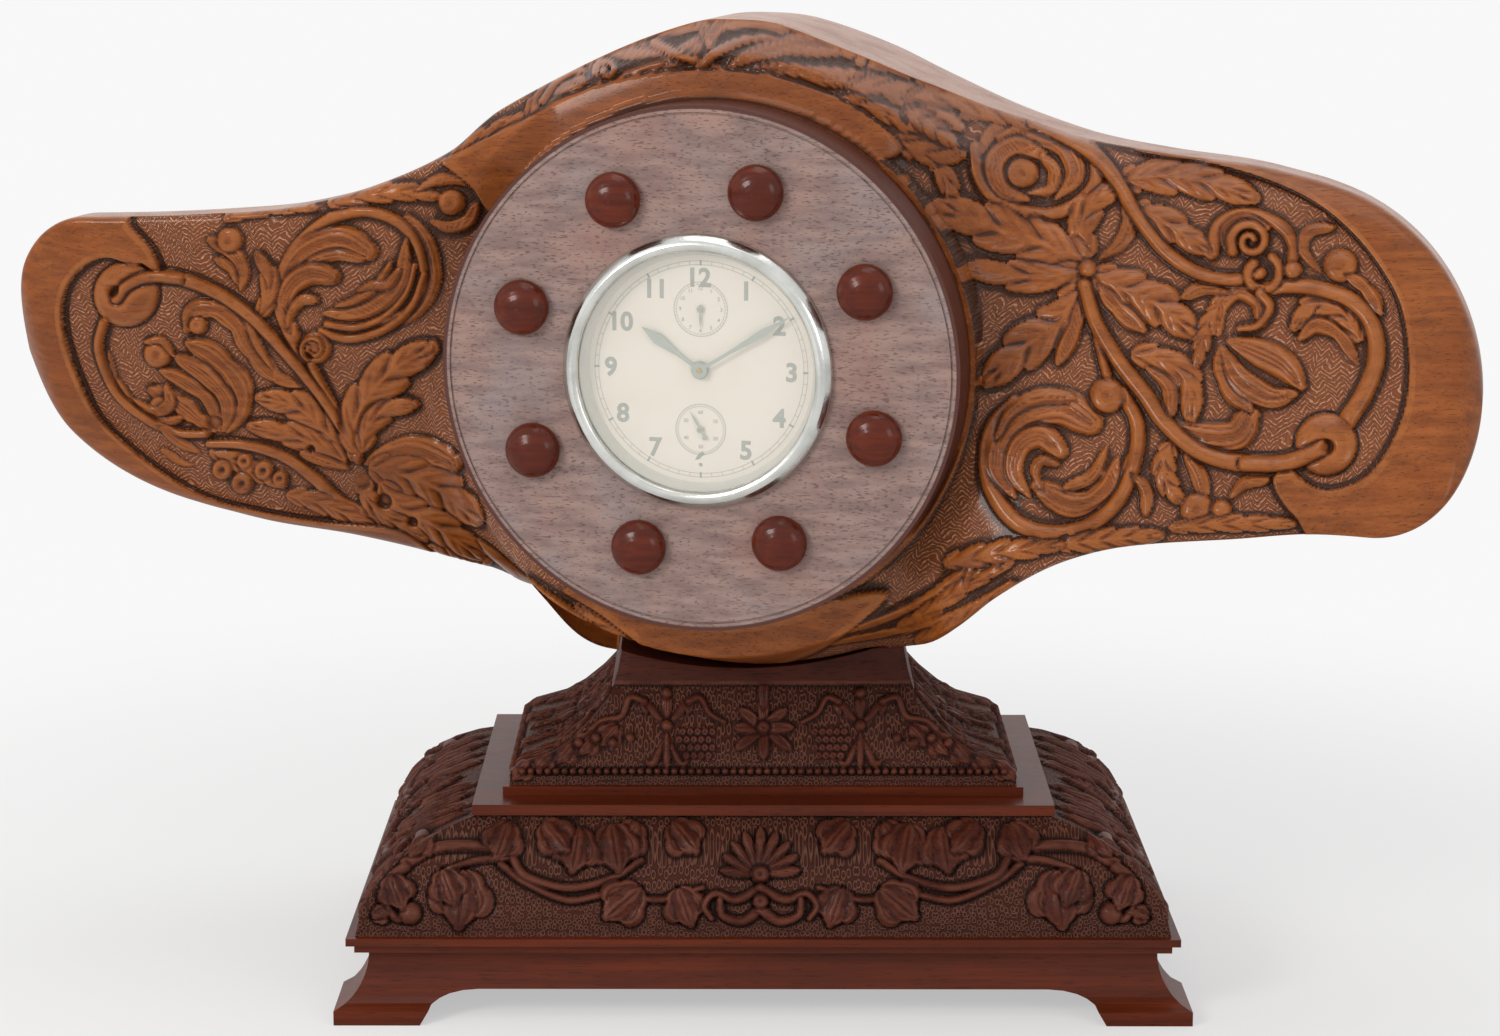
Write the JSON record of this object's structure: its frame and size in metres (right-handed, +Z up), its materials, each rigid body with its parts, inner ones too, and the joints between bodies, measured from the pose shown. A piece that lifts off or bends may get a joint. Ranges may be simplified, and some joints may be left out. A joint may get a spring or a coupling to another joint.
{
  "type": "propeller mantel clock",
  "caption": "Mantel clock made from a carved propeller boss with both blade roots, on a carved plinth with bracket feet.",
  "frame": {"origin": "middle of the plinth, on the surface that the feet stand on", "axes": "+X to the viewer's right along the plinth, +Y away from the viewer, +Z up; the boss is turned 12.4 degrees, with its dial towards the viewer's left"},
  "size_m": [0.6551, 0.3112, 0.4475],
  "materials": {
    "walnut_amber": "waxed, warm brown",
    "mahogany_red": "polished red-brown",
    "mahogany_dark": "dark, carved",
    "fascia_wood": "dull purple-brown",
    "cap_gloss": "high gloss, dark red-brown",
    "nickel": "polished nickel",
    "case_steel": "brushed",
    "steel": "bright",
    "brass": "satin",
    "dial_cream": "matt cream",
    "rehaut_grey": "satin pale grey",
    "hand_green": "satin pale grey-green",
    "glass": "clear"
  },
  "bodies": {
    "clock_body": {"foot_frame_front": "mahogany_red", "foot_frame_rear": "mahogany_red", "foot_frame_sides": "mahogany_red", "glue_blocks": "mahogany_red", "plinth_board": "mahogany_red", "carved_block": "mahogany_dark", "cap_board": "mahogany_red", "neck_slab": "mahogany_red", "neck_block": "mahogany_dark", "plinth_screws": "steel", "boss_bolts": "steel", "boss_bolt_washers": "steel", "propeller": "walnut_amber", "fascia_disc": "fascia_wood", "bolt_caps": "cap_gloss", "cover_pivot_screw": "steel", "case_drum": "case_steel", "case_back": "case_steel", "case_screws": "steel", "bezel": "nickel", "glass": "glass", "rehaut_ring": "rehaut_grey", "dial": "dial_cream", "retaining_clips": "steel", "clip_screws": "steel", "front_plate": "brass", "back_plate": "brass", "pillars": "brass", "pillar_nuts": "steel", "hairspring": "steel", "balance_cock": "brass", "winding_clicks": "steel"},
    "cover": {"rear_cover": "mahogany_red", "cover_knob": "mahogany_dark"},
    "minute_work": {"centre_wheel": "brass", "hand_set_knob": "steel", "minute_hand": "hand_green"},
    "third_work": {"third_wheel": "brass"},
    "seconds_work": {"seconds_wheel": "brass", "seconds_hand": "hand_green"},
    "escape_work": {"escape_wheel": "brass"},
    "pallets": {"pallet_lever": "steel"},
    "balance": {"balance_wheel": "brass"},
    "motion_work": {"minute_wheel": "brass"},
    "hour_work": {"hour_wheel": "brass", "hour_hand": "hand_green"},
    "going_barrel": {"time_barrel": "brass", "time_mainspring": "steel"},
    "time_winding": {"time_winding_arbor": "steel", "time_key": "steel"},
    "alarm_drum": {"alarm_barrel": "brass", "alarm_mainspring": "steel"},
    "alarm_winding": {"alarm_winding_arbor": "steel", "alarm_key": "steel"},
    "alarm_star": {"alarm_star_wheel": "steel"},
    "hammer": {"alarm_hammer": "steel"},
    "alarm_setting": {"alarm_set_arbor": "steel", "alarm_set_knob": "steel", "alarm_hand": "hand_green"},
    "silence": {"silence_button": "steel"}
  },
  "joints": [
    {"name": "minute_work_turn", "type": "hinge", "parent": "clock_body", "child": "minute_work", "pos_m": [-0.02362, -0.10743, 0.301], "axis": [-0.2147, -0.9767, 0], "continuous": true},
    {"name": "third_wheel_turn", "type": "hinge", "parent": "clock_body", "child": "third_work", "pos_m": [-0.01376, -0.1096, 0.2861], "axis": [-0.2147, -0.9767, 0], "continuous": true},
    {"name": "seconds_turn", "type": "hinge", "parent": "clock_body", "child": "seconds_work", "pos_m": [-0.02362, -0.10743, 0.2746], "axis": [-0.2147, -0.9767, 0], "continuous": true},
    {"name": "escape_wheel_turn", "type": "hinge", "parent": "clock_body", "child": "escape_work", "pos_m": [-0.03599, -0.10472, 0.26999], "axis": [-0.2147, -0.9767, 0], "continuous": true},
    {"name": "minute_wheel_turn", "type": "hinge", "parent": "clock_body", "child": "motion_work", "pos_m": [-0.01402, -0.10955, 0.30788], "axis": [-0.2147, -0.9767, 0], "continuous": true},
    {"name": "hour_turn", "type": "hinge", "parent": "clock_body", "child": "hour_work", "pos_m": [-0.02362, -0.10743, 0.301], "axis": [-0.2147, -0.9767, 0], "continuous": true},
    {"name": "going_barrel_turn", "type": "hinge", "parent": "clock_body", "child": "going_barrel", "pos_m": [-0.04138, -0.10353, 0.3115], "axis": [-0.2147, -0.9767, 0], "continuous": true},
    {"name": "time_winding_turn", "type": "hinge", "parent": "clock_body", "child": "time_winding", "pos_m": [-0.04138, -0.10353, 0.3115], "axis": [-0.2147, -0.9767, 0], "continuous": true},
    {"name": "alarm_winding_turn", "type": "hinge", "parent": "clock_body", "child": "alarm_winding", "pos_m": [0.00226, -0.11312, 0.3135], "axis": [-0.2147, -0.9767, 0], "continuous": true},
    {"name": "alarm_barrel_turn", "type": "hinge", "parent": "clock_body", "child": "alarm_drum", "pos_m": [0.00226, -0.11312, 0.3135], "axis": [-0.2147, -0.9767, 0], "continuous": true},
    {"name": "alarm_star_turn", "type": "hinge", "parent": "clock_body", "child": "alarm_star", "pos_m": [0.01097, -0.11504, 0.29672], "axis": [-0.2147, -0.9767, 0], "continuous": true},
    {"name": "alarm_setting_turn", "type": "hinge", "parent": "clock_body", "child": "alarm_setting", "pos_m": [-0.02362, -0.10743, 0.3274], "axis": [-0.2147, -0.9767, 0], "continuous": true},
    {"name": "pallet_swing", "type": "hinge", "parent": "clock_body", "child": "pallets", "pos_m": [-0.04326, -0.10312, 0.27429], "axis": [-0.2147, -0.9767, 0], "range_deg": [-3, 3]},
    {"name": "balance_swing", "type": "hinge", "parent": "clock_body", "child": "balance", "pos_m": [-0.05223, -0.10114, 0.27959], "axis": [-0.2147, -0.9767, 0], "range_deg": [-150, 150]},
    {"name": "hammer_swing", "type": "hinge", "parent": "clock_body", "child": "hammer", "pos_m": [-0.00018, -0.11259, 0.268], "axis": [-0.2147, -0.9767, 0], "range_deg": [-3, 6]},
    {"name": "rear_cover_swing", "type": "hinge", "parent": "clock_body", "child": "cover", "pos_m": [0.01396, 0.06348, 0.358], "axis": [-0.2147, -0.9767, 0], "range_deg": [-150, 150]},
    {"name": "silence_button_push", "type": "slide", "parent": "clock_body", "child": "silence", "axis": [-0.2147, -0.9767, 0], "range_m": [0, 0.0025], "stiffness_N_per_m": 200}
  ],
  "couplings": [
    {"joint": "third_wheel_turn", "follows": "minute_work_turn", "ratio": -8},
    {"joint": "seconds_turn", "follows": "minute_work_turn", "ratio": 60},
    {"joint": "escape_wheel_turn", "follows": "minute_work_turn", "ratio": -600},
    {"joint": "minute_wheel_turn", "follows": "minute_work_turn", "ratio": -0.33333},
    {"joint": "hour_turn", "follows": "minute_work_turn", "ratio": 0.083333},
    {"joint": "going_barrel_turn", "follows": "minute_work_turn", "ratio": -0.16667},
    {"joint": "alarm_star_turn", "follows": "alarm_barrel_turn", "ratio": -6.6}
  ]
}
